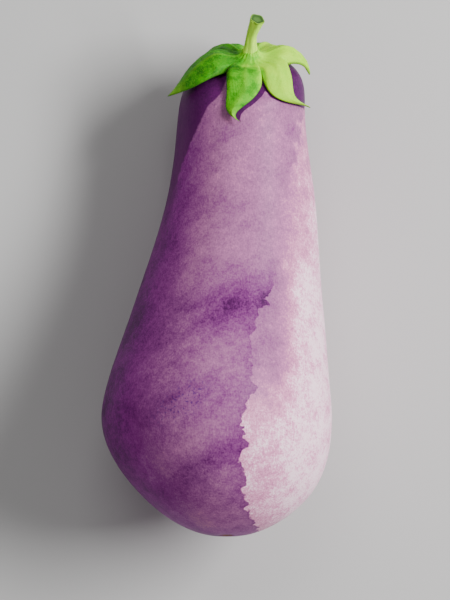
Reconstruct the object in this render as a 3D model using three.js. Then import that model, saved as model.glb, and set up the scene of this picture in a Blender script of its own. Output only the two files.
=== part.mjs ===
// A ripe eggplant lying on its side, as picked: the fruit, its green calyx and its cut stem.
// Millimetres, +Z up. +Y runs towards the stem, and the origin is the centre of the flat spot it rests on.
// Each piece is made straight about +Y, measured by its station from the blossom end and its radius,
// and is then bent along the fruit's own curved axis.
import * as THREE from "three";

// The fruit. below and above are how far the roundness of the belly and the neck reaches each way.
const SCAR = { radius: 4.5, depth: 1.3 };
const BLOSSOM_END = { bluntness: 22, rise: 0.4 };
const BELLY = { radius: 50, station: 52, below: 31, above: 15 };
const NECK = { radius: 27.5, station: 187, slope: 0.09, below: 54, above: 13 };
const CROWN = { station: 208.5, bluntness: 25 };
const OUTLINE_STEPS = { scar: 4, low: 13, flank: 17, crown: 9 };
const FRUIT_SIDES = 60;

// The axis of the fruit as it lies, from the blossom end to past the stem's cut end.
const AXIS_POINTS = [
  [0, -86.5, 60.3],
  [-0.5, -70, 57.5],
  [-4.5, -37, 51],
  [0.4, 10, 40.7],
  [6, 56, 35.2],
  [6.6, 98, 35.9],
  [9.8, 119, 44.9],
  [11.8, 137, 59.9],
];
const AXIS_DIVISIONS = 800;

// The calyx: a fleshy cap with a collar round the stem, and lobes that run down the neck.
const CALYX_GAP = 0.4;
const HOLE_RADIUS = 4;
const CAP_THICKNESS = 2.1;
const RIM_THICKNESS = 0.9;
const RIM_SHARPNESS = 5;
const COLLAR = { rise: 2.6, fade: 2 };
const SHOULDER = { rise: 2.5, distance: 13, width: 5.5 };
// The share of the shoulder's rise that each lobe has. The two lobes underneath are flatter.
const SHOULDER_SHARES = [1, 1, 1, 0.1, 0.4, 1];
const RIB = { rise: 0.7, width: 0.18 };
const LIFT_SHARPNESS = 3.5;
// Where along a lobe it stands off the skin by its arch, from the crown's centre.
const ARCH = { distance: 19, width: 9 };
const LOBE_COLUMNS = 14;
const CALYX_ROWS = 18;
// The lobes, going round. start and end are the angles of a lobe's two notches in degrees, from the top of
// the fruit as it lies towards +X. notch is how far the first one is from the stem along the skin, and reach
// how far the tip is. sway, curl and hook turn the lobe sideways in degrees: once, in an S, and at its tip.
// lift raises the tip off the skin, taper is how fast the lobe narrows, and arch is how far it bulges.
const LOBES = [
  { start: -44, end: 26, notch: 13, reach: 43, sway: 0, curl: 4, hook: 8, lift: 1.5, taper: 1.65, arch: 0 },
  { start: 26, end: 82, notch: 10.5, reach: 39, sway: -17, curl: 0, hook: 25, lift: 1.5, taper: 1.2, arch: 0 },
  { start: 82, end: 130, notch: 15, reach: 28, sway: 0, curl: 0, hook: -5, lift: 1.5, taper: 1.1, arch: 3 },
  { start: 130, end: 190, notch: 15, reach: 37, sway: -5, curl: 0, hook: 9, lift: 1, taper: 1.4, arch: 1 },
  { start: 190, end: 246, notch: 14, reach: 36, sway: 5, curl: 0, hook: -9, lift: 1, taper: 1.4, arch: 1 },
  { start: 246, end: 316, notch: 14, reach: 34, sway: 6, curl: 0, hook: 0, lift: 5.6, taper: 0.95, arch: 3.6 },
];

// The stem, a ribbed stalk that stands in the collar and ends in a flat cut. Its points are measured from
// the crown, and its radii are spaced evenly along it.
const STEM_POINTS = [
  [0, 0.5, 0],
  [-0.2, 7, 0],
  [-0.3, 15, 0.2],
  [1.5, 24, 0.6],
];
const STEM_RADII = [3.5, 3.35, 2.65, 2.25, 2.55, 3.15];
const STEM_RIBS = { count: 5, depth: 0.18 };
const STEM_SIDES = 20;
const STEM_STEPS = 14;

const SKIN_PURPLE = 0x7a3f7c;
const CALYX_GREEN = 0x78b040;
const STEM_GREEN = 0xa6c464;

const axis = new THREE.CatmullRomCurve3(AXIS_POINTS.map((point) => new THREE.Vector3(...point)));
axis.arcLengthDivisions = AXIS_DIVISIONS;
const axisLength = axis.getLength();

// Bends a piece made straight about +Y: its slices tip up and down with the axis, and slide sideways with it.
function bend(geometry) {
  const position = geometry.getAttribute("position");
  for (let i = 0; i < position.count; i++) {
    const share = THREE.MathUtils.clamp(position.getY(i) / axisLength, 0, 1);
    const along = axis.getTangentAt(share);
    const top = new THREE.Vector3(0, -along.z, along.y).normalize();
    const placed = axis.getPointAt(share).addScaledVector(top, position.getZ(i));
    position.setXYZ(i, placed.x + position.getX(i), placed.y, placed.z);
  }
  return geometry;
}

// The fruit's outline as four curves of radius and station: its scar, low belly, flank and crown.
function fruitOutline() {
  const at = (radius, station) => new THREE.Vector2(radius, station);
  const curve = (...points) => new THREE.CubicBezierCurve(...points);
  const [scarRim, belly] = [at(SCAR.radius, 0), at(BELLY.radius, BELLY.station)];
  const [neck, crown] = [at(NECK.radius, NECK.station), at(0, CROWN.station)];
  const neckAt = (ahead) => at(NECK.radius - ahead * NECK.slope, NECK.station + ahead);
  return {
    scar: curve(at(0, SCAR.depth), at(SCAR.radius / 2, SCAR.depth), at(SCAR.radius / 2, 0), scarRim),
    low: curve(
      scarRim,
      at(BLOSSOM_END.bluntness, BLOSSOM_END.rise),
      at(BELLY.radius, BELLY.station - BELLY.below),
      belly,
    ),
    flank: curve(belly, at(BELLY.radius, BELLY.station + BELLY.above), neckAt(-NECK.below), neck),
    crown: curve(neck, neckAt(NECK.above), at(CROWN.bluntness, CROWN.station), crown),
  };
}

function fruit(outline) {
  const points = Object.entries(OUTLINE_STEPS).flatMap(([name, steps], i) =>
    outline[name].getPoints(steps).slice(i === 0 ? 0 : 1),
  );
  const geometry = bend(new THREE.LatheGeometry(points, FRUIT_SIDES));
  // The skin gives a little where the fruit's weight rests, in one flat spot.
  const position = geometry.getAttribute("position");
  for (let i = 0; i < position.count; i++) position.setZ(i, Math.max(0, position.getZ(i)));
  return geometry;
}

// A point at a distance from the crown's centre along the skin, at an angle round the axis, raised off it.
function onSkin(upper, distance, angle, raised) {
  const share = 1 - distance / upper.getLength();
  const [point, along] = [upper.getPointAt(share), upper.getTangentAt(share)];
  const radius = point.x + raised * along.y;
  const station = point.y - raised * along.x;
  return [radius * Math.sin(angle), station, radius * Math.cos(angle)];
}

// How thick the calyx is: a collar at the stem, a swollen shoulder, a rib down each lobe and a thin rim.
function calyxThickness(distance, { notch, shoulderShare }, rowShare, across) {
  const collar = COLLAR.rise * Math.exp((HOLE_RADIUS - distance) / COLLAR.fade);
  const swell = Math.exp(-(((distance - SHOULDER.distance) / SHOULDER.width) ** 2));
  const shoulder = SHOULDER.rise * shoulderShare * swell;
  const rib = RIB.rise * Math.exp(-((across / RIB.width) ** 2)) * Math.min(1, distance / notch);
  const body = CAP_THICKNESS + collar + shoulder + rib;
  return RIM_THICKNESS + (body - RIM_THICKNESS) * (1 - rowShare ** RIM_SHARPNESS);
}

// The columns of the calyx's grid, going round. step runs from -1 at a lobe's first notch, by 0 at its tip.
function calyxColumns() {
  const { lerp } = THREE.MathUtils;
  return LOBES.flatMap((lobe, i) => {
    const [before, after] = [(i + LOBES.length - 1) % LOBES.length, (i + 1) % LOBES.length];
    return Array.from({ length: LOBE_COLUMNS }, (_, j) => {
      const step = (2 * j) / LOBE_COLUMNS - 1;
      const beside = step < 0 ? before : after;
      const notch = lerp(lobe.notch, LOBES[after].notch, (step + 1) / 2);
      const arch = lerp(lobe.arch, (lobe.arch + LOBES[beside].arch) / 2, step ** 2);
      const [own, next] = [SHOULDER_SHARES[i], SHOULDER_SHARES[beside]];
      const shoulderShare = lerp(own, (own + next) / 2, step ** 2);
      return { lobe, step, notch, arch, shoulderShare };
    });
  });
}

// How far round the fruit a point of a lobe is, in degrees. down runs from 0 at its notch to 1 at its tip.
function lobeAngle(lobe, across, down) {
  const middle = (lobe.start + lobe.end) / 2;
  const half = (lobe.end - lobe.start) / 2;
  const sway = lobe.sway * Math.sin(Math.PI * down);
  const curl = lobe.curl * Math.sin(2 * Math.PI * down);
  return middle + across * half + sway + curl + lobe.hook * down ** 3;
}

// Two grids over the neck, the underside and the outside, closed round the hole and along the lobed margin.
function calyx(outline) {
  const upper = new THREE.CurvePath();
  upper.curves.push(outline.flank, outline.crown);
  const columns = calyxColumns();
  const [under, outside] = [[], []];
  for (let row = 0; row <= CALYX_ROWS; row++) {
    for (const column of columns) {
      const { lobe, step, notch, arch } = column;
      const rowShare = row / CALYX_ROWS;
      const across = Math.sign(step) * Math.abs(step) ** lobe.taper;
      const margin = notch + (lobe.reach - notch) * (1 - Math.abs(step));
      const distance = HOLE_RADIUS + (margin - HOLE_RADIUS) * rowShare;
      const down = Math.max(0, (distance - notch) / (lobe.reach - notch));
      const angle = THREE.MathUtils.degToRad(lobeAngle(lobe, across, down));
      const bulge = arch * Math.exp(-(((distance - ARCH.distance) / ARCH.width) ** 2));
      const low = CALYX_GAP + bulge + lobe.lift * down ** LIFT_SHARPNESS;
      const high = low + calyxThickness(distance, column, rowShare, across);
      under.push(...onSkin(upper, distance, angle, low));
      outside.push(...onSkin(upper, distance, angle, high));
    }
  }
  return closedSheet(under, outside, CALYX_ROWS + 1, columns.length);
}

// A solid between two grids of the same rows and columns, whose columns run right round.
function closedSheet(under, outside, rows, columns) {
  const index = [];
  const shift = rows * columns;
  const last = (rows - 1) * columns;
  const quad = (a, b, c, d) => index.push(a, b, c, a, c, d);
  for (let column = 0; column < columns; column++) {
    const next = (column + 1) % columns;
    for (let row = 0; row < rows - 1; row++) {
      const [a, b] = [row * columns + column, row * columns + next];
      quad(a + columns + shift, b + columns + shift, b + shift, a + shift);
      quad(a, b, b + columns, a + columns);
    }
    quad(column + shift, next + shift, next, column);
    quad(last + column, last + next, last + next + shift, last + column + shift);
  }
  return new THREE.BufferGeometry()
    .setAttribute("position", new THREE.Float32BufferAttribute([...under, ...outside], 3))
    .setIndex(index);
}

// The vertices of one ring of the stem, whose radius swells and sinks over its ribs.
function stemRing(centre, across, upward, radius) {
  return Array.from({ length: STEM_SIDES }, (_, side) => {
    const turn = (2 * Math.PI * side) / STEM_SIDES;
    const ribbed = radius + STEM_RIBS.depth * Math.cos(STEM_RIBS.count * turn);
    return [
      ...centre
        .clone()
        .addScaledVector(across, ribbed * Math.cos(turn))
        .addScaledVector(upward, ribbed * Math.sin(turn)),
    ];
  }).flat();
}

function stem() {
  const path = new THREE.CatmullRomCurve3(
    STEM_POINTS.map(([x, y, z]) => new THREE.Vector3(x, CROWN.station + y, z)),
  );
  const radii = new THREE.SplineCurve(STEM_RADII.map((radius, i) => new THREE.Vector2(i, radius)));
  const frames = path.computeFrenetFrames(STEM_STEPS, false);
  const vertices = Array.from({ length: STEM_STEPS + 1 }, (_, step) => {
    const share = step / STEM_STEPS;
    const radius = radii.getPoint(share).y;
    return stemRing(path.getPointAt(share), frames.normals[step], frames.binormals[step], radius);
  }).flat();
  const foot = vertices.length / 3;
  const cut = foot + 1;
  vertices.push(...path.getPointAt(0), ...path.getPointAt(1));
  const index = [];
  const lastRing = STEM_STEPS * STEM_SIDES;
  for (let side = 0; side < STEM_SIDES; side++) {
    const next = (side + 1) % STEM_SIDES;
    for (let step = 0; step < STEM_STEPS; step++) {
      const [a, b] = [step * STEM_SIDES + side, step * STEM_SIDES + next];
      index.push(a, b, b + STEM_SIDES, a, b + STEM_SIDES, a + STEM_SIDES);
    }
    index.push(foot, next, side, cut, lastRing + side, lastRing + next);
  }
  return new THREE.BufferGeometry()
    .setAttribute("position", new THREE.Float32BufferAttribute(vertices, 3))
    .setIndex(index);
}

function piece(name, geometry, color, roughness) {
  const mesh = new THREE.Mesh(geometry, new THREE.MeshStandardMaterial({ color, roughness, metalness: 0 }));
  mesh.name = name;
  return mesh;
}

const outline = fruitOutline();
const eggplant = new THREE.Group();
eggplant.add(
  piece("fruit", fruit(outline), SKIN_PURPLE, 0.35),
  piece("calyx", bend(calyx(outline)), CALYX_GREEN, 0.65),
  piece("stem", bend(stem()), STEM_GREEN, 0.7),
);
export default eggplant;
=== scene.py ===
import math

import bpy
import numpy as np
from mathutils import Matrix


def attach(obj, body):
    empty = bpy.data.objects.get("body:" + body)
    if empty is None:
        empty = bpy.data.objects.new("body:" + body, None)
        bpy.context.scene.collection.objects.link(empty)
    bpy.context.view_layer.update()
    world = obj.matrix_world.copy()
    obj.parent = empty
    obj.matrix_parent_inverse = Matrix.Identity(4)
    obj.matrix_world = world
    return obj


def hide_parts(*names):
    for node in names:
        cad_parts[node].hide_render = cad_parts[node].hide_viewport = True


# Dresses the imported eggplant: its violet and lilac skin, its veined calyx and its ribbed, cut stem.
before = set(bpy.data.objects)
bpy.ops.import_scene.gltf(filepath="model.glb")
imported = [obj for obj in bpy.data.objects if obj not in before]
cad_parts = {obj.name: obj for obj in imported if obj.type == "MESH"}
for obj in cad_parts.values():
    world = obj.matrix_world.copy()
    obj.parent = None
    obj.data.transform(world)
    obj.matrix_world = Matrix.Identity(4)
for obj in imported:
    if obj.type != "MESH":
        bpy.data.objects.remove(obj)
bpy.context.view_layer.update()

# Shapes are worked out in millimetres, and each mesh is then written in metres.
MM = 0.001
# A distance at which no edge or scar on the skin has any effect.
FAR = 99

# The fruit's outline, by radius and by station from the blossom end. below and above are how far the
# roundness of the belly and the neck reaches each way.
SCAR = {"radius": 4.5, "depth": 1.3}
BLOSSOM_END = {"bluntness": 22, "rise": 0.4}
BELLY = {"radius": 50, "station": 52, "below": 31, "above": 15}
NECK = {"radius": 27.5, "station": 187, "slope": 0.09, "below": 54, "above": 13}
CROWN = {"station": 208.5, "bluntness": 25}
CURVE_POINTS = 400

# The axis of the fruit as it lies, from the blossom end to past the stem's cut end.
AXIS_POINTS = [
    (0, -86.5, 60.3),
    (-0.5, -70, 57.5),
    (-4.5, -37, 51),
    (0.4, 10, 40.7),
    (6, 56, 35.2),
    (6.6, 98, 35.9),
    (9.8, 119, 44.9),
    (11.8, 137, 59.9),
]
FRUIT_SIDES = 256
SCAR_ROWS = 22
FRUIT_ROWS = 300
# The rows lie closer together up to this far from the middle of the scar.
SCAR_ZONE = 9
# The skin dips by up to depth, in broad waves of these lengths. The dips shrink where the fruit's radius is
# less than radius, and over fade mm where the calyx starts to cover the skin, covered mm from the crown.
UNEVENNESS = {"depth": 0.7, "waves": (160, 120, 95, 80, 66, 52), "radius": 20, "covered": 60, "fade": 20}
FLAT_SPOT_SOFTNESS = 0.15

# The calyx, as in the solids, with more columns and rows, and with veins and a curling rim. Its collar
# closes in on the stem.
CALYX_GAP = 0.4
HOLE_RADIUS = 2.9
CAP_THICKNESS = 2.1
RIM_THICKNESS = 0.55
RIM_SHARPNESS = 7
COLLAR = {"rise": 2.6, "from": 4, "fade": 2}
SHOULDER = {"rise": 2.5, "distance": 13, "width": 5.5}
# The share of the shoulder's rise that each lobe has. The two lobes underneath are flatter.
SHOULDER_SHARES = [1, 1, 1, 0.1, 0.4, 1]
RIB = {"rise": 0.7, "width": 0.16}
LIFT_SHARPNESS = 3.5
# The rim curls up by rise, and between the lobes by the share least of it. sharpness keeps the curl to the
# rim, and quickness lets it grow down the lobe.
RIM_CURL = {"rise": 0.45, "sharpness": 6, "quickness": 4, "least": 0.3}
LOBE_COLUMNS = 44
CALYX_ROWS = 84
# With less than 1 the rows lie closer together towards the rim.
ROW_SPREAD = 0.9
VEIN = {"rise": 0.16, "spacing": 3.4, "slant": 1.5, "width": 0.42, "start": 12, "fade": 6}
COLLAR_RIDGES = {"count": 18, "rise": 0.22, "fade": 9}
ARCH = {"distance": 19, "width": 9}
# The lobes in order round the fruit, from the top to +X. start, end, sway, curl and hook are in degrees, and
# notch, reach, lift and arch in mm. notch and reach are measured from the crown along the skin.
LOBES = [
    dict(start=-44, end=26, notch=13, reach=43, sway=0, curl=4, hook=8, lift=1.5, taper=1.65, arch=0),
    dict(start=26, end=82, notch=10.5, reach=39, sway=-17, curl=0, hook=25, lift=1.5, taper=1.2, arch=0),
    dict(start=82, end=130, notch=15, reach=28, sway=0, curl=0, hook=-5, lift=1.5, taper=1.1, arch=3),
    dict(start=130, end=190, notch=15, reach=37, sway=-5, curl=0, hook=9, lift=1, taper=1.4, arch=1),
    dict(start=190, end=246, notch=14, reach=36, sway=5, curl=0, hook=-9, lift=1, taper=1.4, arch=1),
    dict(start=246, end=316, notch=14, reach=34, sway=6, curl=0, hook=0, lift=5.6, taper=0.95, arch=3.6),
]
# How far the lobes' painted shadow on the skin reaches to the right of each lobe, in degrees, how far it
# reaches below the lobes, and how late it narrows to its point.
PAINTED_SHADOW_SPREADS = [6, 46, 6, 6, 6, 6]
PAINTED_SHADOW_BELOW = 0.4
PAINTED_SHADOW_SHARPNESS = 5

# The stem, measured from the crown.
STEM_POINTS = [(0, 0.5, 0), (-0.2, 7, 0), (-0.3, 15, 0.2), (1.5, 24, 0.6)]
STEM_RADII = [3.5, 3.35, 2.65, 2.25, 2.55, 3.15]
STEM_STEPS = 60
STEM_RIBS = {"count": 5, "depth": 0.06}
STEM_SIDES = 80
# The cut end's lip and the middle of its dish stand this high above the stalk's flat end. Its foot is sunk
# this deep in the stalk.
CUT = {"lip": 0.55, "middle": 0.1, "foot": 0.1}
# Its outline, by shares of the stalk's radius, and for the lip and dish of the lip's rise over the middle.
CUT_FOOT_SHARES = [0.97, 1.0]
CUT_DISH = [
    (1.005, 0.6),
    (0.995, 0.85),
    (0.97, 0.97),
    (0.93, 1.0),
    (0.87, 0.9),
    (0.78, 0.66),
    (0.66, 0.4),
    (0.52, 0.22),
    (0.38, 0.1),
    (0.24, 0.03),
    (0.12, 0.0),
]

# Short down on the calyx and the stem, with this many hairs on each square millimetre. lean and twist are
# in radians, and smallest is a share of the full size.
DOWN = {"length": 0.55, "thickness": 0.03, "lean": 0.6, "twist": 6.3, "smallest": 0.5}
CALYX_DOWN_DENSITY = 1.6
STEM_DOWN_DENSITY = 1.2

# Painted shade, a deep violet down the left of the neck: its right edge, from the calyx to the belly.
PAINTED_SHADE_EDGE = [
    (1.5, 116),
    (-2.5, 103),
    (-8.7, 96.9),
    (-12.9, 88.6),
    (-16.4, 79.7),
    (-20, 71.5),
    (-21.5, 64),
    (-24, 56.5),
    (-28, 47),
    (-33, 38),
    (-42, 26),
    (-62, 0),
    (-70, -90),
]
# How soft that edge is on the way: a number and its place up and down.
PAINTED_SHADE_SOFTNESS = [(0.5, 116), (0.5, 66), (2, 56), (9, 42), (14, 20)]
# The left edge of the pale side, paler skin that is partly painted light, from the calyx to the blossom end,
# and how soft it is on the way.
PALE_EDGE = [
    (34, 101),
    (31, 85),
    (29.5, 75),
    (27, 62),
    (25, 45),
    (22, 32),
    (19.8, 22.3),
    (15, 9),
    (11.3, 4.5),
    (9.5, -17),
    (12.4, -23),
    (7.5, -31),
    (7.3, -43),
    (9.4, -45.5),
    (4.1, -53.5),
    (8, -60),
    (6.6, -66),
    (8.8, -74),
    (11, -79),
    (14.5, -84.5),
    (17, -92),
]
PALE_SOFTNESS = [(1.2, 101), (2, 75), (7, 60), (7, 38), (3, 28), (0.35, 20), (0.35, -92)]
# Broad soft marks where the skin is paler or deeper than round them. turn is in degrees.
PATCHES = [
    {"at": (-2, 84), "reach": (13, 5), "turn": 42, "tone": -0.13},
    {"at": (3, 68), "reach": (9, 14), "tone": 0.08},
    {"at": (15, 80), "reach": (12, 20), "tone": 0.08},
    {"at": (29, 87), "reach": (4, 4), "tone": -0.12},
    {"at": (-8, 57), "reach": (14, 8), "tone": -0.12},
    {"at": (-24, 38), "reach": (8, 11), "tone": -0.15},
    {"at": (0, 37), "reach": (16, 7), "tone": 0.07},
    {"at": (8, 14), "reach": (20, 8), "turn": 10, "tone": -0.25},
    {"at": (-16, 1), "reach": (18, 4), "turn": 33, "tone": -0.05},
    {"at": (-32, 0), "reach": (9, 8), "tone": -0.14},
    {"at": (-4, -11), "reach": (14, 9), "tone": 0.07},
    {"at": (-25, -28), "reach": (8, 3), "turn": 40, "tone": -0.12},
    {"at": (-14, -43), "reach": (20, 5), "turn": 33, "tone": 0.07},
    {"at": (-10, -56), "reach": (22, 4.5), "turn": 31, "tone": -0.13},
    {"at": (-8, -66), "reach": (5, 3), "turn": 30, "tone": -0.08},
    {"at": (-16, -80), "reach": (18, 9), "tone": 0.22},
    {"at": (-33, -60), "reach": (12, 16), "tone": 0.16},
]
# Where dark grains gather on the belly.
GRAINS = {"at": (-19, -28), "reach": (16, 7), "turn": 35}

# Tones run from 0, the deepest violet, to 1, nearly white. The violet side has one tone on the belly and one
# on the neck, and NECK_STARTS is how far up the first runs into the second.
BELLY_TONE = 0.36
NECK_TONE = 0.5
NECK_STARTS = (14, 42)
# Painted shade: the violet side is deeper at its left. from and to are shares of the way from the axis to
# the side.
PAINTED_LEFT_SHADE = {"tone": -0.26, "from": 0.62, "to": 0.98}
# The pale side's tones, from left to right, nearly white painted light at the right. from and to are in mm,
# and on the neck shares of the way out.
PALE_LOW = {"left": 0.86, "right": 0.96, "from": 15, "to": 32}
PALE_MIDDLE = {"left": 0.47, "right": 0.96, "from": 19, "to": 33}
PALE_NECK = {"left": 0.74, "right": 0.98, "from": 0.8, "to": 1}
# How far up each of these runs into the next, and where the neck's right evens out to its left.
PALE_MIDDLE_STARTS = (-40, -6)
PALE_NECK_STARTS = (22, 40)
PALE_NECK_EVENS = (40, 80)

# The skin's tones on the side that faces the light. A shaded copy of them follows, for painted shade.
SKIN_TONES = [
    (0.0, (0.065, 0.005, 0.068, 1)),
    (0.15, (0.148, 0.024, 0.142, 1)),
    (0.35, (0.243, 0.073, 0.21, 1)),
    (0.5, (0.33, 0.122, 0.26, 1)),
    (0.62, (0.42, 0.145, 0.32, 1)),
    (0.75, (0.58, 0.21, 0.38, 1)),
    (0.87, (0.76, 0.32, 0.52, 1)),
    (1.0, (0.97, 0.69, 0.81, 1)),
]
# Painted shade: where the skin turns away from this lit side, up and to the right, it takes a shaded copy
# of its tones, whose deeper tones are of a purer violet.
LIT_SIDE = (1, 0.3, 1)
SHADED_SIDE_TONES = [
    (0.0, (0.08, 0.0005, 0.09, 1)),
    (0.15, (0.17, 0.004, 0.18, 1)),
    (0.35, (0.29, 0.02, 0.28, 1)),
    (0.5, (0.37, 0.07, 0.35, 1)),
    (0.62, (0.46, 0.13, 0.39, 1)),
    *SKIN_TONES[5:],
]
# The painted shade's deep violet: a lit copy on that side, and a shaded copy away from it. It is brushed
# with a third violet: a share of it everywhere, more at its edge, and more or less where the skin is
# mottled.
PAINTED_SHADE_VIOLET = (0.042, 0.008, 0.05, 1)
SHADED_SIDE_VIOLET = (0.085, 0.001, 0.095, 1)
BRUSHED_VIOLET = (0.15, 0.012, 0.15, 1)
BRUSHING = {"share": 0.3, "at_edge": 0.35, "mottling": 1.7}
# The tone's change in the fringe along the ragged edge of the pale side.
FRINGE_TONE = -0.07
# Each tint is a colour, and the share of it that is mixed in where it is strongest.
SKIN_GRAIN_TINT = {"colour": (0.075, 0.012, 0.15, 1), "share": 0.7}
DARK_CORK = (0.1878, 0.0887, 0.0612, 1)
PALE_CORK = (0.3916, 0.2232, 0.1384, 1)
SKIN_ROUGHNESS = 0.4
CORK_ROUGHNESS = 0.35
SKIN_SHINE = 0.08

# The calyx's colours, from the deepest green to the palest.
CALYX_TONES = [
    (0.0, (0.008, 0.14, 0.001, 1)),
    (0.2, (0.018, 0.24, 0.001, 1)),
    (0.4, (0.06, 0.38, 0.002, 1)),
    (0.58, (0.14, 0.52, 0.003, 1)),
    (0.78, (0.3, 0.7, 0.006, 1)),
    (1.0, (0.46, 0.84, 0.012, 1)),
]
# Its tone on the left, and what is added: painted shade by the stem on the left, then in the middle, in the
# wedge between the middle and the right, on the right, and in the blots of each half.
LEAF_TONE = {
    "left": 0.25,
    "painted_stem_shade": -0.12,
    "middle": 0.2,
    "wedge": 0.29,
    "right": 0.2,
    "left_blots": -0.2,
    "right_blots": -0.06,
}
# How far the middle tone's edge moves to the left, and the wedge's to the right, away from the stem.
LEAF_EDGE_SHIFT = 8
LEAF_GRAIN_TINT = {"colour": (0.3, 0.7, 0.01, 1), "share": 0.14}
LEAF_RIB_TINT = {"colour": (0.36, 0.75, 0.02, 1), "share": 0.14}
LEAF_TIP_TINT = {"colour": (0.36, 0.76, 0.03, 1), "share": 0.55}
LEAF_RIM_TINT = {"colour": (0.03, 0.12, 0.004, 1), "share": 0.55}
LEAF_ROUGHNESS = 0.6
GREEN_SHINE = 0.15

DEEP_STALK_GREEN = (0.44, 0.8, 0.05, 1)
PALE_STALK_GREEN = (0.6, 0.95, 0.07, 1)
STALK_SPECK_TINT = {"colour": (0.1, 0.28, 0.01, 1), "share": 0.4}
STALK_ROUGHNESS = 0.62
# The cut end's colours, from the middle of the pith to the rind.
CUT_TONES = [
    (0.0, (0.09, 0.2, 0.045, 1)),
    (0.45, (0.07, 0.16, 0.03, 1)),
    (0.66, (0.03, 0.08, 0.015, 1)),
    (0.84, (0.06, 0.14, 0.03, 1)),
    (0.95, (0.22, 0.42, 0.02, 1)),
]
DEEP_DOWN_GREEN = (0.12, 0.38, 0.015, 1)
PALE_DOWN_GREEN = (0.36, 0.66, 0.06, 1)
DULL_ROUGHNESS = 0.7

CAMERA_HEIGHT = 1500
CAMERA_AIM = (-0.8, 14.4, 45)
FRAME_HEIGHT = 259.7
SENSOR = 36
FLOOR = {"size": 8000, "colour": (0.52, 0.515, 0.51, 1), "roughness": 0.9}
LAMPS = [
    {"name": "key", "at": (980, 300, 950), "size": (850, 300), "power": 36},
    {"name": "top", "at": (-100, 750, 1300), "size": (700, 500), "power": 4},
]
STUDIO_LIGHT = 0.27


class Path:
    """A line through many points, read by the distance along it."""

    def __init__(self, points):
        self.points = np.asarray(points, float)
        steps = np.linalg.norm(np.diff(self.points, axis=0), axis=1)
        self.reach = np.concatenate([[0], np.cumsum(steps)])
        self.length = self.reach[-1]

    def at(self, distance):
        columns = [np.interp(distance, self.reach, column) for column in self.points.T]
        return np.stack(columns, axis=-1)

    def along(self, distance, step=0.5):
        ahead = self.at(distance + step) - self.at(distance - step)
        return ahead / np.linalg.norm(ahead, axis=-1, keepdims=True)


def bezier(*handles):
    """Points along a cubic curve."""
    a, b, c, d = np.array(handles, float)
    t = np.linspace(0, 1, CURVE_POINTS)[:, None]
    return (1 - t) ** 3 * a + 3 * (1 - t) ** 2 * t * b + 3 * (1 - t) * t**2 * c + t**3 * d


def smooth_path(knots):
    """A smooth path through the knots, which starts and ends as if it went straight on."""
    knots = np.array(knots, float)
    knots = np.vstack([2 * knots[0] - knots[1], knots, 2 * knots[-1] - knots[-2]])
    t = np.linspace(0, 1, CURVE_POINTS, endpoint=False)[:, None]
    spans = []
    for a, b, c, d in zip(knots, knots[1:], knots[2:], knots[3:]):
        ab, bc, cd = (math.sqrt(np.linalg.norm(step)) for step in (b - a, c - b, d - c))
        leave = ((b - a) / ab - (c - a) / (ab + bc) + (c - b) / bc) * bc
        arrive = ((c - b) / bc - (d - b) / (bc + cd) + (d - c) / cd) * bc
        square = 3 * (c - b) - 2 * leave - arrive
        cube = 2 * (b - c) + leave + arrive
        spans.append(b + leave * t + square * t**2 + cube * t**3)
    return Path(np.vstack([*spans, knots[-2:-1]]))


def neck_at(ahead):
    return (NECK["radius"] - ahead * NECK["slope"], NECK["station"] + ahead)


AXIS = smooth_path(AXIS_POINTS)
SCAR_RIM = (SCAR["radius"], 0)
BELLY_POINT = (BELLY["radius"], BELLY["station"])
SCAR_CURVE = bezier(
    (0, SCAR["depth"]),
    (SCAR["radius"] / 2, SCAR["depth"]),
    (SCAR["radius"] / 2, 0),
    SCAR_RIM,
)
LOW_CURVE = bezier(
    SCAR_RIM,
    (BLOSSOM_END["bluntness"], BLOSSOM_END["rise"]),
    (BELLY["radius"], BELLY["station"] - BELLY["below"]),
    BELLY_POINT,
)
FLANK_CURVE = bezier(
    BELLY_POINT,
    (BELLY["radius"], BELLY["station"] + BELLY["above"]),
    neck_at(-NECK["below"]),
    neck_at(0),
)
CROWN_CURVE = bezier(
    neck_at(0),
    neck_at(NECK["above"]),
    (CROWN["bluntness"], CROWN["station"]),
    (0, CROWN["station"]),
)
OUTLINE = Path(np.vstack([SCAR_CURVE, LOW_CURVE[1:], FLANK_CURVE[1:], CROWN_CURVE[1:]]))
UPPER = Path(np.vstack([FLANK_CURVE, CROWN_CURVE[1:]]))


def bend(points):
    """Carries points made straight about +Y to their places on the fruit's curved axis."""
    along = AXIS.along(points[..., 1])
    top = np.stack([0 * along[..., 0], -along[..., 2], along[..., 1]], axis=-1)
    top /= np.linalg.norm(top, axis=-1, keepdims=True)
    placed = AXIS.at(points[..., 1]) + top * points[..., 2:]
    placed[..., 0] += points[..., 0]
    return placed


def full_turn(sides):
    """The angles of the points of a ring."""
    return np.linspace(0, 2 * math.pi, sides, endpoint=False)[None, :]


def turned(radius, station, angle):
    """Points about the straight axis, with angle 0 at the top and a quarter turn at +X."""
    return np.stack([radius * np.sin(angle), station + 0 * angle, radius * np.cos(angle)], axis=-1)


def skin_radius(distance):
    """The fruit's radius at a distance from the crown's centre along the skin."""
    return UPPER.at(UPPER.length - distance)[..., 0]


def on_skin(distance, angle, raised):
    """Points at a distance from the crown's centre along the skin, raised off it."""
    point = UPPER.at(UPPER.length - distance)
    along = UPPER.along(UPPER.length - distance)
    radius = point[..., 0] + raised * along[..., 1]
    station = point[..., 1] - raised * along[..., 0]
    return bend(turned(radius, station, angle))


def grid_faces(rows, columns, rows_close):
    """Four-sided faces over a grid whose columns run right round, and whose rows may do so too."""
    row = np.arange(rows if rows_close else rows - 1)[:, None]
    column = np.arange(columns)[None, :]
    here, above = row * columns, (row + 1) % rows * columns
    beside = (column + 1) % columns
    corners = [here + column, here + beside, above + beside, above + column]
    return np.stack(corners, axis=-1).reshape(-1, 4).tolist()


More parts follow.
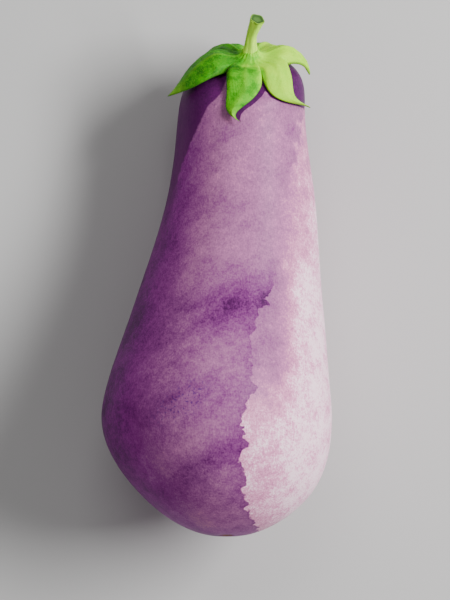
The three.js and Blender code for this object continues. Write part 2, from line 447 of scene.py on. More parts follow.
def closed_faces(rows, columns):
    """The faces of a grid of rings that is closed by a point at each end. Those two points come last."""
    faces = grid_faces(rows, columns, rows_close=False)
    start, end = rows * columns, rows * columns + 1
    last_ring = (rows - 1) * columns
    for column in range(columns):
        beside = (column + 1) % columns
        faces.append([start, beside, column])
        faces.append([end, last_ring + column, last_ring + beside])
    return faces


def with_ends(values, rows, columns, ends=(0, 0)):
    """A value for each point of a grid of rings, from one for each ring or column, and for its two ends."""
    return np.append(np.broadcast_to(values, (rows, columns)), ends)


def put_in_scene(piece):
    bpy.context.scene.collection.objects.link(piece)
    return piece


def add_values(mesh, label, values):
    """Keeps a value at each point of a mesh, for its finish to read."""
    attribute = mesh.attributes.new(label, "FLOAT", "POINT")
    attribute.data.foreach_set("value", np.asarray(values, np.float32).ravel())


def finished_mesh(name, points, faces, values, material):
    """A smooth-shaded piece from millimetre points, with the values at each point by their names."""
    mesh = bpy.data.meshes.new(name)
    mesh.from_pydata((points * MM).tolist(), [], faces)
    for label, numbers in values.items():
        add_values(mesh, label, numbers)
    mesh.polygons.foreach_set("use_smooth", [True] * len(mesh.polygons))
    mesh.materials.append(material)
    mesh.update()
    return put_in_scene(bpy.data.objects.new(name, mesh))


def waves(points, lengths, seed):
    """Smooth uneven values from -1 to 1 at each point, from crossing waves of the given lengths in mm."""
    draw = np.random.default_rng(seed)
    total = np.zeros(points.shape[:-1])
    for length in lengths:
        heading = draw.normal(size=3)
        heading *= 2 * math.pi / length / np.linalg.norm(heading)
        total += np.sin(points @ heading + draw.uniform(0, 2 * math.pi))
    return total / len(lengths)


def eased(values, start, end, first=0, last=1):
    """first up to start and last past end, smooth between them."""
    share = np.clip((values - start) / (end - start), 0, 1)
    return first + (last - first) * (share**2 * (3 - 2 * share))


def hump(values, middle, width):
    """1 at the middle, falling to 0 on both sides of it."""
    return np.exp(-(((values - middle) / width) ** 2))


def lobe_turn(lobe, down):
    """How far a lobe turns sideways, in degrees, where down is 0 at its notch and 1 at its tip."""
    sway = lobe["sway"] * np.sin(math.pi * down)
    curl = lobe["curl"] * np.sin(2 * math.pi * down)
    return sway + curl + lobe["hook"] * down**3


# Used to place the lobes' painted shadow on the skin.
def beyond_lobes(distance, angle, spread):
    """
    About how far outside the calyx's edge a place on the skin is, in mm, with less than 0 under it. Each
    lobe is taken to reach further to its right by its own spread, in degrees, which ends in a point.
    """
    nearest = np.full(distance.shape, float(FAR))
    for lobe, after, wider in zip(LOBES, LOBES[1:] + LOBES[:1], spread):
        middle, half = (lobe["start"] + lobe["end"]) / 2, (lobe["end"] - lobe["start"]) / 2
        notch = (lobe["notch"] + after["notch"]) / 2
        down = np.clip((distance - notch) / (lobe["reach"] - notch), 0, 1)
        aside = (np.degrees(angle) - middle - lobe_turn(lobe, down) + 180) % 360 - 180
        aside = aside - np.clip(aside, 0, wider * (1 - down**PAINTED_SHADOW_SHARPNESS))
        past_side = np.abs(aside) - half * (1 - down) ** lobe["taper"]
        across = past_side * np.radians(1) * skin_radius(distance)
        past_tip = np.maximum(distance - lobe["reach"], 0)
        past_both = np.hypot(np.maximum(across, 0), past_tip)
        nearest = np.minimum(nearest, np.where(past_tip > 0, past_both, across))
    return nearest


def along_edge(edge, points):
    """The first number of an edge's list, at each point's place up and down."""
    values, up = np.array(edge, float)[::-1].T
    return np.interp(points[..., 1], up, values)


def edge_distance(edge, points):
    """How far to the right of an edge each point is, in mm, where the edge is a line from top to bottom."""
    return points[..., 0] - along_edge(edge, points)


def patch_share(patch, points):
    """1 in the middle of a soft patch, falling to 0 round it."""
    turn = np.radians(patch.get("turn", 0))
    across = np.array([(np.cos(turn), -np.sin(turn)), (np.sin(turn), np.cos(turn))])
    apart = (points[..., :2] - patch["at"]) @ across / patch["reach"]
    return np.exp(-(apart**2).sum(axis=-1))


def violet_tone(points, side):
    """The tone of the skin on the violet side. side runs from -1 at the fruit's left to 1 at its right."""
    tone = eased(points[..., 1], *NECK_STARTS, BELLY_TONE, NECK_TONE)
    # Painted shade, deeper towards the fruit's left.
    tone += eased(-side, PAINTED_LEFT_SHADE["from"], PAINTED_LEFT_SHADE["to"], 0, PAINTED_LEFT_SHADE["tone"])
    for patch in PATCHES:
        tone += patch["tone"] * patch_share(patch, points)
    return tone


def pale_tone(points, side):
    """The tone of the skin on the pale side: lilac at first, and nearly white painted light towards the
    right.
    """
    across, up = points[..., 0], points[..., 1]
    low, middle, neck = (
        eased(place, tones["from"], tones["to"], tones["left"], tones["right"])
        for place, tones in ((across, PALE_LOW), (across, PALE_MIDDLE), (side, PALE_NECK))
    )
    neck = eased(up, *PALE_NECK_EVENS, neck, PALE_NECK["left"])
    tone = eased(up, *PALE_MIDDLE_STARTS, low, middle)
    return eased(up, *PALE_NECK_STARTS, tone, neck)


def fruit_rings():
    """How far along the outline each ring of the fruit lies."""
    reach = np.concatenate([
        np.linspace(0, SCAR_ZONE, SCAR_ROWS, endpoint=False)[1:],
        np.linspace(SCAR_ZONE, OUTLINE.length, FRUIT_ROWS)[:-1],
    ])
    return reach[:, None]


def fruit_points(reach, angle):
    """The points of the fruit's rings, a little uneven, and then its two ends."""
    radius, station = np.moveaxis(OUTLINE.at(reach), -1, 0)
    dips = (1 + waves(turned(radius, station, angle), UNEVENNESS["waves"], seed=4)) / 2
    off_scar = np.clip(radius / UNEVENNESS["radius"], 0, 1)
    covered = np.clip((reach - OUTLINE.length + UNEVENNESS["covered"]) / UNEVENNESS["fade"], 0, 1)
    shrink = UNEVENNESS["depth"] * dips * off_scar * (1 - covered)
    rings = bend(turned(radius - shrink, station, angle))
    ends = bend(np.array([[0, SCAR["depth"], 0], [0, CROWN["station"], 0]], float))
    points = np.vstack([rings.reshape(-1, 3), ends])
    height = points[:, 2]
    points[:, 2] = (height + np.hypot(height, FLAT_SPOT_SOFTNESS)) / 2
    return points


def skin_values(points, reach, angle):
    """What the skin's finish reads at each point of the fruit."""
    size = len(reach), FRUIT_SIDES
    side = with_ends(np.sin(angle), *size)
    from_crown = with_ends(OUTLINE.length - reach, *size, ends=(OUTLINE.length, 0))
    scar = points[-2]
    off_scar = np.hypot(points[:, 0] - scar[0], points[:, 2] - scar[2])
    return {
        "tone": violet_tone(points, side),
        "pale_tone": pale_tone(points, side),
        "grains": patch_share(GRAINS, points),
        # Painted shade: the deep violet down the left of the neck, by its edge and how soft that is.
        "painted_shade_edge": edge_distance(PAINTED_SHADE_EDGE, points),
        "painted_shade_softness": along_edge(PAINTED_SHADE_SOFTNESS, points),
        # The pale side, partly the skin's own paler colour and partly painted light towards the right.
        "pale_edge": edge_distance(PALE_EDGE, points),
        "pale_softness": along_edge(PALE_SOFTNESS, points),
        # The lobes' painted shadow on the skin, dark violet beside and below them.
        "painted_lobe_shadow": beyond_lobes(from_crown - PAINTED_SHADOW_BELOW, with_ends(angle, *size), PAINTED_SHADOW_SPREADS),
        "scar": np.where(points[:, 1] > 0, FAR, off_scar),
    }


def facing(mesh, side):
    """How far each point of a mesh faces a side, from 1 towards it to -1 away from it."""
    normals = np.empty(len(mesh.vertices) * 3, np.float32)
    mesh.vertex_normals.foreach_get("vector", normals)
    return normals.reshape(-1, 3) @ (np.array(side) / np.linalg.norm(side))


def make_fruit():
    """The fruit: a fine skin on the solid's own outline, with a scar at the blossom end."""
    reach, angle = fruit_rings(), full_turn(FRUIT_SIDES)
    points = fruit_points(reach, angle)
    faces = closed_faces(len(reach), FRUIT_SIDES)
    fruit = finished_mesh("fruit_skin", points, faces, skin_values(points, reach, angle), skin_finish())
    # How far each point faces the lit side, which sets the painted shade.
    add_values(fruit.data, "facing_lit_side", facing(fruit.data, LIT_SIDE))
    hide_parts("fruit")
    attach(fruit, "root")


def calyx_columns():
    """
    For each column of the calyx its step, from -1 to 1 across its lobe, and its lobe's values. The notch,
    the arch and the shoulder run into those of the lobes beside it.
    """
    steps = np.tile(np.arange(LOBE_COLUMNS) * 2 / LOBE_COLUMNS - 1, len(LOBES))
    by_lobe = {key: [lobe[key] for lobe in LOBES] for key in LOBES[0]}
    by_lobe["shoulder"] = SHOULDER_SHARES
    columns = {"step": steps}
    for key, values in by_lobe.items():
        values = np.array(values, float)
        before, own, after = (np.repeat(np.roll(values, turn), LOBE_COLUMNS) for turn in (1, 0, -1))
        columns[key] = own
        if key == "notch":
            columns[key] = own + (after - own) * (steps + 1) / 2
        if key in ("arch", "shoulder"):
            columns[key] = own + (np.where(steps < 0, before, after) - own) / 2 * steps**2
    return columns


def vein_rise(side_mm, distance):
    """Slanting side veins that leave the midrib of a lobe in pairs."""
    place = (distance - VEIN["slant"] * np.abs(side_mm)) / VEIN["spacing"]
    near = (place - np.round(place)) * VEIN["spacing"]
    started = np.clip((distance - VEIN["start"]) / VEIN["fade"], 0, 1)
    return VEIN["rise"] * hump(near, 0, VEIN["width"]) * started


def calyx_body(columns, across, distance, angle):
    """The calyx's thickness before it thins out to its rim."""
    half = np.radians(columns["end"] - columns["start"]) / 2
    collar = COLLAR["rise"] * np.exp((COLLAR["from"] - distance) / COLLAR["fade"])
    swell = hump(distance, SHOULDER["distance"], SHOULDER["width"])
    shoulder = SHOULDER["rise"] * columns["shoulder"] * swell
    rib = RIB["rise"] * hump(across, 0, RIB["width"]) * np.minimum(1, distance / columns["notch"])
    ridges = COLLAR_RIDGES["rise"] * np.cos(COLLAR_RIDGES["count"] * angle)
    ridges *= np.exp(-distance / COLLAR_RIDGES["fade"])
    veins = vein_rise(across * half * skin_radius(distance), distance)
    return CAP_THICKNESS + collar + shoulder + rib + ridges + veins


def calyx_grids():
    """The calyx's underside and outside as grids of points, and what its finish reads at each point."""
    columns = calyx_columns()
    step, notch, reach = columns["step"], columns["notch"], columns["reach"]
    row_share = np.linspace(0, 1, CALYX_ROWS)[:, None] ** ROW_SPREAD
    across = np.sign(step) * np.abs(step) ** columns["taper"]
    margin = notch + (reach - notch) * (1 - np.abs(step))
    distance = HOLE_RADIUS + (margin - HOLE_RADIUS) * row_share
    down = np.maximum(0, (distance - notch) / (reach - notch))
    middle, half = (columns["start"] + columns["end"]) / 2, (columns["end"] - columns["start"]) / 2
    angle = np.radians(middle + across * half + lobe_turn(columns, down))
    bulge = columns["arch"] * hump(distance, ARCH["distance"], ARCH["width"])
    curl = RIM_CURL["rise"] * row_share ** RIM_CURL["sharpness"]
    curl = curl * np.clip(down * RIM_CURL["quickness"], RIM_CURL["least"], 1)
    low = CALYX_GAP + bulge + columns["lift"] * down**LIFT_SHARPNESS + curl
    body = calyx_body(columns, across, distance, angle)
    thick = RIM_THICKNESS + (body - RIM_THICKNESS) * (1 - row_share**RIM_SHARPNESS)
    values = {"across": across, "down": down, "distance": distance, "rim": row_share}
    values = {label: np.broadcast_to(grid, distance.shape) for label, grid in values.items()}
    return on_skin(distance, angle, low), on_skin(distance, angle, low + thick), values


def make_calyx():
    """The calyx: one closed sheet round the stem, and a copy of its outside for the down to grow on."""
    under, outside, values = calyx_grids()
    columns = under.shape[1]
    wrapped = np.concatenate([under, outside[::-1]])
    values = {label: np.concatenate([grid, grid[::-1]]) for label, grid in values.items()}
    faces = grid_faces(len(wrapped), columns, rows_close=True)
    calyx = finished_mesh("calyx_leaf", wrapped.reshape(-1, 3), faces, values, calyx_finish())
    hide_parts("calyx")
    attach(calyx, "root")
    ground_faces = [face[::-1] for face in grid_faces(CALYX_ROWS, columns, rows_close=False)]
    ground = finished_mesh("calyx_ground", outside.reshape(-1, 3), ground_faces, {}, down_finish())
    grow_down(ground, "calyx_down", CALYX_DOWN_DENSITY, seed=3)


def stem_path():
    """The stem's centre line in place, and its radius at each point."""
    straight = smooth_path([(x, CROWN["station"] + y, z) for x, y, z in STEM_POINTS])
    share = np.linspace(0, 1, STEM_STEPS)
    centres = bend(straight.at(share * (straight.length - CUT["lip"])))
    radii = smooth_path([(i, radius, 0) for i, radius in enumerate(STEM_RADII)])
    last = len(STEM_RADII) - 1
    return centres, np.interp(share * last, radii.points[:, 0], radii.points[:, 1])


def path_curve(name, centres, radii):
    """A curve object through millimetre points, with a radius at each."""
    data = bpy.data.curves.new(name, "CURVE")
    data.dimensions = "3D"
    spline = data.splines.new("POLY")
    spline.points.add(len(centres) - 1)
    for point, centre, radius in zip(spline.points, centres, radii):
        point.co = (*(centre * MM), 1)
        point.radius = radius * MM
    return put_in_scene(bpy.data.objects.new(name, data))


def make_stem():
    """The stem: a ribbed stalk that follows its path, its cut end and its down."""
    centres, radii = stem_path()
    curve = path_curve("stem_path", centres, radii)
    stalk = grown(curve, stalk_tree(), "stem_stalk", {
        "Sides": STEM_SIDES,
        "Ribs": STEM_RIBS["count"],
        "Rib depth": STEM_RIBS["depth"],
        "Material": stem_finish(),
    })
    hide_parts("stem")
    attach(stalk, "root")
    make_cut_end(centres, radii)
    ground = put_in_scene(stalk.copy())
    grow_down(ground, "stem_down", STEM_DOWN_DENSITY, seed=5)


def make_cut_end(centres, radii):
    """The cut end: a lid with a rounded lip and a shallow dish, on the stalk's flat end."""
    along = centres[-1] - centres[-2]
    along /= np.linalg.norm(along)
    across = np.cross(along, (0, 0, 1))
    across /= np.linalg.norm(across)
    upward = np.cross(across, along)
    share, rise = np.array(CUT_DISH).T
    share = np.concatenate([CUT_FOOT_SHARES, share])
    height = np.concatenate([[-CUT["foot"], 0], CUT["middle"] + (CUT["lip"] - CUT["middle"]) * rise])
    turn = full_turn(STEM_SIDES)
    radius = radii[-1] * share[:, None] * (1 + STEM_RIBS["depth"] * np.cos(STEM_RIBS["count"] * turn))
    outward = np.cos(turn)[..., None] * across + np.sin(turn)[..., None] * upward
    rings = centres[-1] + height[:, None, None] * along + radius[..., None] * outward
    ends = centres[-1] + np.array([[-CUT["foot"]], [CUT["middle"]]]) * along
    points = np.vstack([rings.reshape(-1, 3), ends])
    faces = [face[::-1] for face in closed_faces(len(share), STEM_SIDES)]
    out = with_ends(share[:, None], len(share), STEM_SIDES)
    cut = finished_mesh("stem_cut", points, faces, {"out": out}, cut_finish())
    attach(cut, "root")


def tree_with(name, inputs):
    """A new geometry tree with its inputs, each a name, a socket type and a starting value."""
    tree = bpy.data.node_groups.new(name, "GeometryNodeTree")
    tree.interface.new_socket("Geometry", in_out="INPUT", socket_type="NodeSocketGeometry")
    for label, kind, value in inputs:
        socket = tree.interface.new_socket(label, in_out="INPUT", socket_type=kind)
        if value is not None:
            socket.default_value = value
    tree.interface.new_socket("Geometry", in_out="OUTPUT", socket_type="NodeSocketGeometry")
    return tree


def set_inputs(tree, node, inputs):
    """Sets a node's inputs, each to a plain value or to another node's output."""
    for label, value in inputs.items():
        socket = node.inputs[label]
        if isinstance(value, bpy.types.NodeSocket):
            tree.links.new(value, socket)
        else:
            socket.default_value = value


def add_node(tree, kind, inputs=None, **settings):
    """A new node with its settings and inputs."""
    node = tree.nodes.new(kind)
    for label, value in settings.items():
        setattr(node, label, value)
    set_inputs(tree, node, inputs or {})
    return node


def worked_out(tree, operation, first, second=0.0):
    """The result of a maths node."""
    return add_node(tree, "ShaderNodeMath", {0: first, 1: second}, operation=operation).outputs[0]


def scaled(tree, vector, scale):
    """A vector made longer or shorter."""
    return add_node(tree, "ShaderNodeVectorMath", {0: vector, "Scale": scale}, operation="SCALE").outputs[0]


def end_tree(tree, geometry, material):
    """Ends a tree in real faces with their material."""
    real = add_node(tree, "GeometryNodeRealizeInstances", {"Geometry": geometry})
    painted = add_node(tree, "GeometryNodeSetMaterial", {"Geometry": real.outputs[0], "Material": material})
    add_node(tree, "NodeGroupOutput", {"Geometry": painted.outputs[0]})


def stalk_tree():
    """A ribbed stalk swept along a curve, as thick as the curve's radius says."""
    tree = tree_with("ribbed stalk", [
        ("Sides", "NodeSocketInt", STEM_SIDES),
        ("Ribs", "NodeSocketInt", STEM_RIBS["count"]),
        ("Rib depth", "NodeSocketFloat", STEM_RIBS["depth"]),
        ("Material", "NodeSocketMaterial", None),
    ])
    given = add_node(tree, "NodeGroupInput").outputs
    ring = add_node(tree, "GeometryNodeCurvePrimitiveCircle", {"Resolution": given["Sides"], "Radius": 1.0})
    place = add_node(tree, "GeometryNodeInputPosition").outputs[0]
    split = add_node(tree, "ShaderNodeSeparateXYZ", {"Vector": place}).outputs
    turn = worked_out(tree, "ARCTAN2", split["Y"], split["X"])
    wave = worked_out(tree, "COSINE", worked_out(tree, "MULTIPLY", turn, given["Ribs"]))
    rise = worked_out(tree, "MULTIPLY", wave, given["Rib depth"])
    ribbed = add_node(tree, "GeometryNodeSetPosition", {
        "Geometry": ring.outputs[0],
        "Offset": scaled(tree, place, rise),
    })
    swept = add_node(tree, "GeometryNodeCurveToMesh", {
        "Curve": given["Geometry"],
        "Profile Curve": ribbed.outputs[0],
        "Scale": add_node(tree, "GeometryNodeInputRadius").outputs[0],
        "Fill Caps": True,
    })
    smooth = add_node(tree, "GeometryNodeSetShadeSmooth", {
        "Geometry": swept.outputs[0],
        "Shade Smooth": True,
    })
    end_tree(tree, smooth.outputs[0], given["Material"])
    return tree


def down_tree():
    """Short pointed hairs that stand on a surface, each leaning its own way."""
    tree = tree_with("down", [
        ("Density", "NodeSocketFloat", CALYX_DOWN_DENSITY / MM**2),
        ("Length", "NodeSocketFloat", DOWN["length"] * MM),
        ("Thickness", "NodeSocketFloat", DOWN["thickness"] * MM),
        ("Seed", "NodeSocketInt", 0),
        ("Material", "NodeSocketMaterial", None),
    ])
    given = add_node(tree, "NodeGroupInput").outputs
    spots = add_node(tree, "GeometryNodeDistributePointsOnFaces", {
        "Mesh": given["Geometry"],
        "Density": given["Density"],
        "Seed": given["Seed"],
    })
    hair = add_node(tree, "GeometryNodeMeshCone", {
        "Vertices": 3,
        "Radius Bottom": given["Thickness"],
        "Depth": given["Length"],
    })
    lean = add_node(tree, "FunctionNodeRandomValue", {
        "Min": (-DOWN["lean"], -DOWN["lean"], 0),
        "Max": (DOWN["lean"], DOWN["lean"], DOWN["twist"]),
        "Seed": given["Seed"],
    }, data_type="FLOAT_VECTOR")
    leaning = add_node(tree, "FunctionNodeRotateRotation", {
        "Rotation": spots.outputs["Rotation"],
        "Rotate By": lean.outputs[0],
    }, rotation_space="LOCAL")
    size = add_node(tree, "FunctionNodeRandomValue", {
        2: DOWN["smallest"],
        3: 1.0,
        "Seed": given["Seed"],
    }, data_type="FLOAT")
    hairs = add_node(tree, "GeometryNodeInstanceOnPoints", {
        "Points": spots.outputs["Points"],
        "Instance": hair.outputs["Mesh"],
        "Rotation": leaning.outputs[0],
        "Scale": size.outputs[1],
    })
    end_tree(tree, hairs.outputs[0], given["Material"])
    return tree


def grown(base, tree, name, values):
    """A plain mesh piece, made by running a geometry tree on a base object that is then removed."""
    modifier = base.modifiers.new(name, "NODES")
    modifier.node_group = tree
    for item in tree.interface.items_tree:
        if item.in_out == "INPUT" and item.name in values:
            modifier[item.identifier] = values[item.name]
    bpy.context.view_layer.update()
    evaluated = base.evaluated_get(bpy.context.evaluated_depsgraph_get())
    mesh = bpy.data.meshes.new_from_object(evaluated)
    bpy.data.objects.remove(base)
    mesh.name = name
    return put_in_scene(bpy.data.objects.new(name, mesh))


def grow_down(ground, name, density, seed):
    """Short down on a ground mesh, which is used up."""
    down = grown(ground, down_tree(), name, {
        "Density": density / MM**2,
        "Length": DOWN["length"] * MM,
        "Thickness": DOWN["thickness"] * MM,
        "Seed": seed,
        "Material": down_finish(),
    })
    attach(down, "root")


class Finish:
    """A new material, and short ways to add the nodes that the finishes here use. Sizes are in mm."""

    def __init__(self, name):
        self.material = bpy.data.materials.new(name)
        self.material.use_nodes = True
        self.tree = self.material.node_tree
        self.shader = self.tree.nodes["Principled BSDF"]
        place = add_node(self.tree, "ShaderNodeTexCoord").outputs["Object"]
        self.place = scaled(self.tree, place, 1 / MM)

    def value(self, name):
        """The values that the mesh keeps under a name."""
        return add_node(self.tree, "ShaderNodeAttribute", attribute_name=name).outputs["Fac"]

    def math(self, operation, first, second=0.0):
        return worked_out(self.tree, operation, first, second)

    def product(self, first, second):
        return self.math("MULTIPLY", first, second)

    def total(self, *values):
        whole = values[0]
        for value in values[1:]:
            whole = self.math("ADD", whole, value)
        return whole

    def noise(self, size, detail, stretch=(1, 1, 1), turn=0.0):
        """Noise from 0 to 1 in blotches of about this size, longer along the axes that stretch says."""
        turned_place = add_node(self.tree, "ShaderNodeMapping", {
            "Vector": self.place,
            "Rotation": (0, 0, math.radians(turn)),
            "Scale": tuple(size * share for share in stretch),
        }, vector_type="TEXTURE").outputs[0]
        inputs = {"Vector": turned_place, "Scale": 1.0, "Detail": detail}
        return add_node(self.tree, "ShaderNodeTexNoise", inputs).outputs[0]

    def uneven(self, size, detail, by, **pattern):
        """A change of plus or minus about this much, in blotches of about this size."""
        return self.product(self.math("SUBTRACT", self.noise(size, detail, **pattern), 0.5), 2 * by)

    def step(self, value, start, end):
        """0 up to start and 1 past end, smooth between them."""
        inputs = {"Value": value, "From Min": start, "From Max": end}
        node = add_node(self.tree, "ShaderNodeMapRange", inputs, interpolation_type="SMOOTHSTEP")
        return node.outputs["Result"]

    def blend(self, share, first, second):
        """first where share is 0, and second where it is 1, for numbers."""
        node = add_node(self.tree, "ShaderNodeMix", {0: share, 2: first, 3: second}, data_type="FLOAT")
        return node.outputs[0]

    def mix(self, share, first, second):
        """first where share is 0, and second where it is 1, for colours."""
        node = add_node(self.tree, "ShaderNodeMix", {0: share, 6: first, 7: second}, data_type="RGBA")
        return node.outputs[2]

    def tinted(self, colour, tint, where):
        """The colour with its tint mixed in, as strongly as where says from 0 to 1."""
        return self.mix(self.product(where, tint["share"]), colour, tint["colour"])

    def ramp(self, value, stops):
        """A run of colours, each at its place from 0 to 1."""
        node = add_node(self.tree, "ShaderNodeValToRGB", {"Fac": value})
        elements = node.color_ramp.elements
        while len(elements) < len(stops):
            elements.new(0.5)
        for element, (place, colour) in zip(elements, stops):
            element.position = place
            element.color = colour
        return node.outputs["Color"]

    def bump(self, height, depth):
        """Relief of the given depth in mm from a height of 0 to 1."""
        inputs = {"Height": height, "Strength": 1.0, "Distance": depth * MM}
        relief = add_node(self.tree, "ShaderNodeBump", inputs).outputs[0]
        set_inputs(self.tree, self.shader, {"Normal": relief})

    def finish(self, colour, roughness, shine=0.5):
        """The material with its colour, roughness and shine."""
        values = {"Base Color": colour, "Roughness": roughness, "Specular IOR Level": shine}
        set_inputs(self.tree, self.shader, values)
        return self.material


def skin_tone(skin, mottle, fine):
    """The skin's tone: violet with slanting streaks, and past a ragged edge with a deeper fringe, pale."""
    edge, softness = skin.value("pale_edge"), skin.value("pale_softness")
    clouds = skin.uneven(size=20, detail=3, by=0.12)
    streaks = skin.uneven(size=5, detail=3, by=0.15, stretch=(4, 1, 1), turn=35)
    streaks = skin.product(streaks, skin.step(edge, start=6, end=-10))
    past_edge = skin.total(edge, skin.uneven(size=4, detail=2, by=4.5))
    near_edge = skin.step(past_edge, start=-3.5, end=-0.3)
    fringe = skin.product(near_edge, skin.step(softness, start=1, end=0.5))
    fringe = skin.product(fringe, FRINGE_TONE)
    violet = skin.total(skin.value("tone"), clouds, mottle, fine, streaks, fringe)
    # The pale side, with nearly white painted light towards the right.
    pale = skin.total(skin.value("pale_tone"), skin.uneven(size=7, detail=4, by=0.22), fine)
    return skin.blend(skin.step(skin.math("DIVIDE", past_edge, softness), start=-1, end=1), violet, pale)


def painted_shade_share(skin):
    """Where the skin is deep violet: painted shade on the left, and the lobes' painted shadow beside them.
    """
    # Painted shade down the left of the neck.
    into_left_shade = skin.total(skin.value("painted_shade_edge"), skin.uneven(size=6, detail=3, by=1.6))
    left_shade = skin.step(skin.math("DIVIDE", into_left_shade, skin.value("painted_shade_softness")), start=1, end=-1)
    # The lobes' painted shadow beside them.
    off_lobes = skin.total(skin.value("painted_lobe_shadow"), skin.uneven(size=3, detail=2, by=0.6))
    return skin.math("MAXIMUM", left_shade, skin.step(off_lobes, start=0.6, end=0.1))


def painted_shade_colour(skin, low, mottle, fine):
    """The painted shade's deep violet, brushed, and lighter along the edge of the shade on the left."""
    near_edge = skin.step(skin.math("ABSOLUTE", skin.value("painted_shade_edge")), start=8, end=0)
    lighter = skin.product(near_edge, BRUSHING["at_edge"])
    mottled = skin.product(skin.total(mottle, fine), BRUSHING["mottling"])
    # The deep violet's lit copy, and its shaded copy, painted shade, where the skin turns from the light.
    deep = skin.mix(low, PAINTED_SHADE_VIOLET, SHADED_SIDE_VIOLET)
    return skin.mix(skin.total(BRUSHING["share"], lighter, mottled), deep, BRUSHED_VIOLET)


def skin_finish():
    """Mottled, finely grained violet skin: painted shade on the left, pale lilac and painted light on the
    right.
    """
    skin = Finish("fruit_skin")
    mottle = skin.uneven(size=4.5, detail=4, by=0.14)
    specks = skin.uneven(size=1.6, detail=3, by=0.16)
    grain = skin.uneven(size=0.7, detail=4, by=0.24)
    fibres = skin.uneven(size=0.5, detail=2, by=0.14, stretch=(1, 6, 1))
    fine = skin.total(specks, grain, fibres)
    # Painted shade: where the skin turns away from the light, its colours come from shaded copies.
    low = skin.step(skin.value("facing_lit_side"), start=0.45, end=-0.15)
    tone = skin_tone(skin, mottle, fine)
    colour = skin.mix(low, skin.ramp(tone, SKIN_TONES), skin.ramp(tone, SHADED_SIDE_TONES))
    # Painted shade in deep violet, down the left and beside the lobes.
    colour = skin.mix(painted_shade_share(skin), colour, painted_shade_colour(skin, low, mottle, fine))
    dark_grains = skin.step(skin.noise(size=1.1, detail=4), start=0.56, end=0.62)
    dark_grains = skin.product(dark_grains, skin.step(skin.value("grains"), start=0.1, end=0.9))
    colour = skin.tinted(colour, SKIN_GRAIN_TINT, dark_grains)
    off_scar = skin.total(skin.value("scar"), skin.uneven(size=1.2, detail=3, by=1.2))
    corky = skin.step(off_scar, start=3.4, end=2.4)
    colour = skin.mix(corky, colour, skin.mix(skin.noise(size=0.5, detail=3), DARK_CORK, PALE_CORK))
    rougher = skin.product(corky, CORK_ROUGHNESS)
    roughness = skin.total(SKIN_ROUGHNESS, skin.uneven(size=3, detail=3, by=0.06), rougher)
    skin.bump(skin.total(skin.noise(size=1.4, detail=3), skin.noise(size=0.4, detail=2)), depth=0.05)
    return skin.finish(colour, roughness, SKIN_SHINE)


def leaf_tone(leaf):
    """The calyx's tone: deep on the left, lighter in the middle and pale on the right, with darker blots."""
    across = add_node(leaf.tree, "ShaderNodeSeparateXYZ", {"Vector": leaf.place}).outputs["X"]
    place = leaf.total(across, leaf.uneven(size=6, detail=3, by=3))
    from_crown = leaf.value("distance")
    middle_shift = leaf.product(leaf.step(from_crown, start=12, end=18), LEAF_EDGE_SHIFT)
    wedge_shift = leaf.product(leaf.step(from_crown, start=9, end=13), -LEAF_EDGE_SHIFT)
    middle = leaf.step(leaf.total(place, middle_shift), start=3, end=8)
    wedge = leaf.step(leaf.total(place, wedge_shift), start=3, end=8)
    right = leaf.step(place, start=11, end=17)
    # Painted shade: darker by the stem on the left.
    painted_stem_shade = leaf.step(from_crown, start=15, end=9)
    painted_stem_shade = leaf.product(painted_stem_shade, leaf.blend(middle, LEAF_TONE["painted_stem_shade"], 0))
    blots = leaf.step(leaf.noise(size=4, detail=5), start=0.48, end=0.6)
    blots = leaf.product(blots, leaf.blend(right, LEAF_TONE["left_blots"], LEAF_TONE["right_blots"]))
    return leaf.total(
        LEAF_TONE["left"],
        painted_stem_shade,
        leaf.product(middle, LEAF_TONE["middle"]),
        leaf.product(wedge, LEAF_TONE["wedge"]),
        leaf.product(right, LEAF_TONE["right"]),
        blots,
        leaf.uneven(size=6, detail=3, by=0.16),
        leaf.uneven(size=1.2, detail=3, by=0.06),
    )


def calyx_finish():
    """Fleshy green leaf with a fine grain, lighter midribs and tips, and a darker rim."""
    leaf = Finish("calyx_green")
    colour = leaf.ramp(leaf_tone(leaf), CALYX_TONES)
    grain = leaf.step(leaf.noise(size=0.8, detail=3), start=0.35, end=0.7)
    colour = leaf.tinted(colour, LEAF_GRAIN_TINT, grain)
    rib = leaf.step(leaf.math("ABSOLUTE", leaf.value("across")), start=0.14, end=0.02)
    colour = leaf.tinted(colour, LEAF_RIB_TINT, rib)
    down = leaf.total(leaf.value("down"), leaf.uneven(size=3, detail=2, by=0.2))
    colour = leaf.tinted(colour, LEAF_TIP_TINT, leaf.step(down, start=0.6, end=0.95))
    colour = leaf.tinted(colour, LEAF_RIM_TINT, leaf.step(leaf.value("rim"), start=0.955, end=0.985))
    roughness = leaf.total(LEAF_ROUGHNESS, leaf.uneven(size=2, detail=2, by=0.08))
    leaf.bump(leaf.total(leaf.noise(size=0.9, detail=3), leaf.noise(size=0.3, detail=2)), depth=0.12)
    return leaf.finish(colour, roughness, GREEN_SHINE)


def stem_finish():
    """Pale yellow-green stalk, streaked along its length."""
    stalk = Finish("stem_green")
    streak = stalk.noise(size=0.7, detail=3, stretch=(1, 8, 8))
    pale = stalk.step(streak, start=0.3, end=0.7)
    colour = stalk.mix(pale, DEEP_STALK_GREEN, PALE_STALK_GREEN)
    speck = stalk.step(stalk.noise(size=0.5, detail=2), start=0.66, end=0.74)
    colour = stalk.tinted(colour, STALK_SPECK_TINT, speck)
    stalk.bump(stalk.total(streak, stalk.noise(size=0.3, detail=2)), depth=0.1)
    return stalk.finish(colour, STALK_ROUGHNESS, GREEN_SHINE)


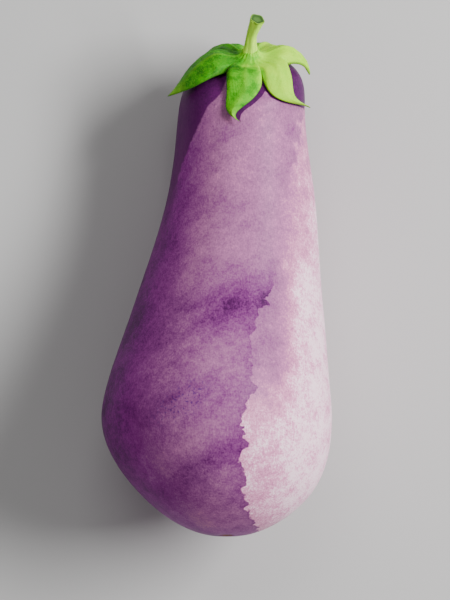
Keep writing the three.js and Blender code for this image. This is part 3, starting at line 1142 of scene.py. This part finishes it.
def cut_finish():
    """The cut end: a green rind, a ring of darker bundles and a paler pith."""
    cut = Finish("stem_cut")
    out = cut.total(cut.value("out"), cut.uneven(size=0.8, detail=2, by=0.05))
    cut.bump(cut.noise(size=0.35, detail=3), depth=0.12)
    return cut.finish(cut.ramp(out, CUT_TONES), DULL_ROUGHNESS, GREEN_SHINE)


def down_finish():
    """Pale green down."""
    down = Finish("down")
    colour = down.mix(down.noise(size=3, detail=2), DEEP_DOWN_GREEN, PALE_DOWN_GREEN)
    return down.finish(colour, DULL_ROUGHNESS, GREEN_SHINE)


def add_camera():
    """The camera looks straight down, with the stem at the top of the picture."""
    data = bpy.data.cameras.new("camera")
    data.sensor_width = SENSOR
    data.lens = SENSOR * CAMERA_HEIGHT / FRAME_HEIGHT
    camera = put_in_scene(bpy.data.objects.new("camera", data))
    camera.location = [v * MM for v in (CAMERA_AIM[0], CAMERA_AIM[1], CAMERA_AIM[2] + CAMERA_HEIGHT)]
    bpy.context.scene.camera = camera


def add_lamp(name, at, size, power):
    """A soft lamp that faces the eggplant."""
    data = bpy.data.lights.new(name, "AREA")
    data.shape = "RECTANGLE"
    data.size, data.size_y = (side * MM for side in size)
    data.energy = power
    lamp = put_in_scene(bpy.data.objects.new(name, data))
    lamp.location = [v * MM for v in at]
    lamp.rotation_euler = (-lamp.location).to_track_quat("-Z", "Y").to_euler()


def add_stage():
    """A plain pale floor and soft light from all round, strongest from the right."""
    bpy.ops.mesh.primitive_plane_add(size=FLOOR["size"] * MM)
    floor = bpy.context.object
    floor.name = "floor"
    floor.data.materials.append(Finish("floor").finish(FLOOR["colour"], FLOOR["roughness"]))
    for lamp in LAMPS:
        add_lamp(**lamp)
    world = bpy.data.worlds.new("studio")
    world.use_nodes = True
    background = world.node_tree.nodes["Background"]
    set_inputs(world.node_tree, background, {"Color": (1, 1, 1, 1), "Strength": STUDIO_LIGHT})
    bpy.context.scene.world = world


add_camera()
add_stage()
make_fruit()
make_calyx()
make_stem()
